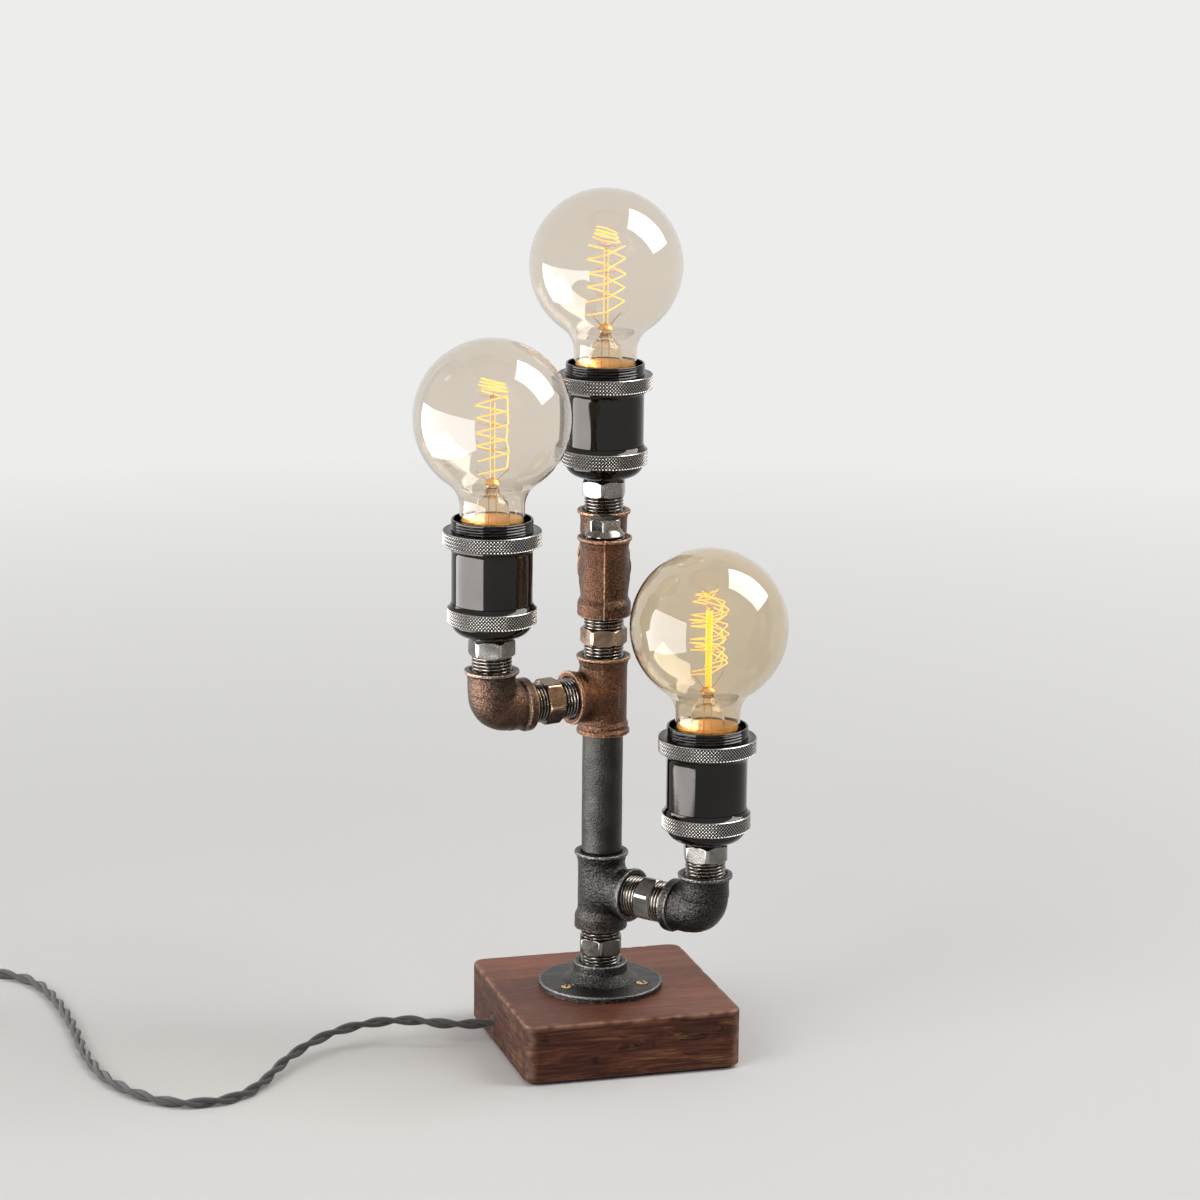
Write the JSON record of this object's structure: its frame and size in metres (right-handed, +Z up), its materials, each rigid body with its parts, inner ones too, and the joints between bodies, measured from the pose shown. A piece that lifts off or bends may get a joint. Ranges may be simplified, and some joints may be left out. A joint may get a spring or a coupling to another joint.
{
  "type": "table lamp",
  "caption": "Table lamp of black iron pipe fittings on a square wooden block, with elbow arms that hold upright screw sockets and glowing globe bulbs.",
  "frame": {"origin": "middle of the wooden block's footprint, on the surface the lamp stands on", "axes": "+Z up; X and Y along the block's sides, the cord leaving through the -X side"},
  "size_m": [0.5166, 0.2885, 0.4492],
  "materials": {
    "base_wood": "satin stain",
    "felt": "matt",
    "iron": "sand-cast, black",
    "pipe": "black oxide",
    "turned_steel": "turned, darkened",
    "screw_brass": "plated",
    "socket_black": "black mirror with bright knurl",
    "ring_metal": "knurled",
    "ceramic": "glazed",
    "contact_brass": "bright",
    "cap_metal": "nickel",
    "clear_glass": "clear, lit",
    "black_glass": "gloss",
    "filament": "glowing",
    "wire": "matt",
    "terminal_plastic": "matt",
    "cord_fabric": "braided",
    "black_plastic": "fine matt",
    "rocker_plastic": "gloss",
    "pin_metal": "nickel-plated"
  },
  "bodies": {
    "stand": {"wooden_base": "base_wood", "felt_pad": "felt", "terminal_block": "terminal_plastic", "base_wiring": "wire", "floor_flange": "iron", "flange_screws": "screw_brass", "flange_nipple": "turned_steel", "lower_tee": "iron", "column_pipe": "pipe", "middle_tee": "iron", "upper_nipple": "turned_steel", "top_tee": "iron", "hex_plug": "turned_steel", "lower_branch_nipple": "turned_steel", "middle_branch_nipple": "turned_steel", "top_branch_nipple": "turned_steel", "cord_bushing": "black_plastic", "cord_run": "cord_fabric", "cord_link": "cord_fabric", "cord_coil": "cord_fabric", "switch_body": "black_plastic", "plug_body": "black_plastic", "plug_pins": "pin_metal"},
    "rocker": {"switch_rocker": "rocker_plastic"},
    "lower_arm": {"lower_elbow": "iron", "lower_riser_nipple": "turned_steel", "lower_socket_cap": "socket_black", "lower_socket_shell": "socket_black", "lower_socket_core": "ceramic", "lower_socket_contacts": "contact_brass", "lower_wires": "wire"},
    "lower_ring": {"lower_shade_ring": "ring_metal"},
    "lower_tip": {"lower_bulb_tip": "black_glass"},
    "lower_bulb": {"lower_bulb_glass": "clear_glass", "lower_bulb_cap": "cap_metal", "lower_bulb_filament": "filament"},
    "middle_arm": {"middle_elbow": "iron", "middle_riser_nipple": "turned_steel", "middle_socket_cap": "socket_black", "middle_socket_shell": "socket_black", "middle_socket_core": "ceramic", "middle_socket_contacts": "contact_brass", "middle_wires": "wire"},
    "middle_ring": {"middle_shade_ring": "ring_metal"},
    "middle_tip": {"middle_bulb_tip": "black_glass"},
    "middle_bulb": {"middle_bulb_glass": "clear_glass", "middle_bulb_cap": "cap_metal", "middle_bulb_filament": "filament"},
    "top_arm": {"top_elbow": "iron", "top_riser_nipple": "turned_steel", "top_socket_cap": "socket_black", "top_socket_shell": "socket_black", "top_socket_core": "ceramic", "top_socket_contacts": "contact_brass", "top_wires": "wire"},
    "top_ring": {"top_shade_ring": "ring_metal"},
    "top_tip": {"top_bulb_tip": "black_glass"},
    "top_bulb": {"top_bulb_glass": "clear_glass", "top_bulb_cap": "cap_metal", "top_bulb_filament": "filament"}
  },
  "joints": [
    {"name": "switch_rock", "type": "hinge", "parent": "stand", "child": "rocker", "pos_m": [-0.347, 0.106, 0.0145], "axis": [1, 0, 0], "range_deg": [-16, 0]},
    {"name": "lower_arm_swivel", "type": "hinge", "parent": "stand", "child": "lower_arm", "pos_m": [0.0255, -0.03649, 0.08625], "axis": [0.6088, -0.7934, 0], "range_deg": [-45, 45]},
    {"name": "lower_ring_lift", "type": "slide", "parent": "lower_arm", "child": "lower_ring", "axis": [0, 0, 1], "range_m": [0, 0.0055]},
    {"name": "lower_bulb_lift", "type": "slide", "parent": "lower_arm", "child": "lower_tip", "axis": [0, 0, 1], "range_m": [0, 0.02]},
    {"name": "lower_bulb_turn", "type": "hinge", "parent": "lower_tip", "child": "lower_bulb", "pos_m": [0.03829, -0.05315, 0.08625], "axis": [0, 0, 1], "range_deg": [0, 1980]},
    {"name": "middle_arm_swivel", "type": "hinge", "parent": "stand", "child": "middle_arm", "pos_m": [-0.04693, -0.01191, 0.19275], "axis": [-0.9659, -0.2588, 0], "range_deg": [-45, 45]},
    {"name": "middle_ring_lift", "type": "slide", "parent": "middle_arm", "child": "middle_ring", "axis": [0, 0, 1], "range_m": [0, 0.0055]},
    {"name": "middle_bulb_lift", "type": "slide", "parent": "middle_arm", "child": "middle_tip", "axis": [0, 0, 1], "range_m": [0, 0.02]},
    {"name": "middle_bulb_turn", "type": "hinge", "parent": "middle_tip", "child": "middle_bulb", "pos_m": [-0.06722, -0.01734, 0.19275], "axis": [0, 0, 1], "range_deg": [0, 1980]},
    {"name": "top_arm_swivel", "type": "hinge", "parent": "stand", "child": "top_arm", "pos_m": [0.00979, 0.04433, 0.256], "axis": [0.2672, 0.9636, 0], "range_deg": [-45, 45]},
    {"name": "top_ring_lift", "type": "slide", "parent": "top_arm", "child": "top_ring", "axis": [0, 0, 1], "range_m": [0, 0.0055]},
    {"name": "top_bulb_lift", "type": "slide", "parent": "top_arm", "child": "top_tip", "axis": [0, 0, 1], "range_m": [0, 0.02]},
    {"name": "top_bulb_turn", "type": "hinge", "parent": "top_tip", "child": "top_bulb", "pos_m": [0.0154, 0.06456, 0.256], "axis": [0, 0, 1], "range_deg": [0, 1980]}
  ],
  "couplings": [
    {"joint": "lower_bulb_lift", "follows": "lower_bulb_turn", "m_per_rad": 0.00057614},
    {"joint": "middle_bulb_lift", "follows": "middle_bulb_turn", "m_per_rad": 0.00057614},
    {"joint": "top_bulb_lift", "follows": "top_bulb_turn", "m_per_rad": 0.00057614}
  ]
}
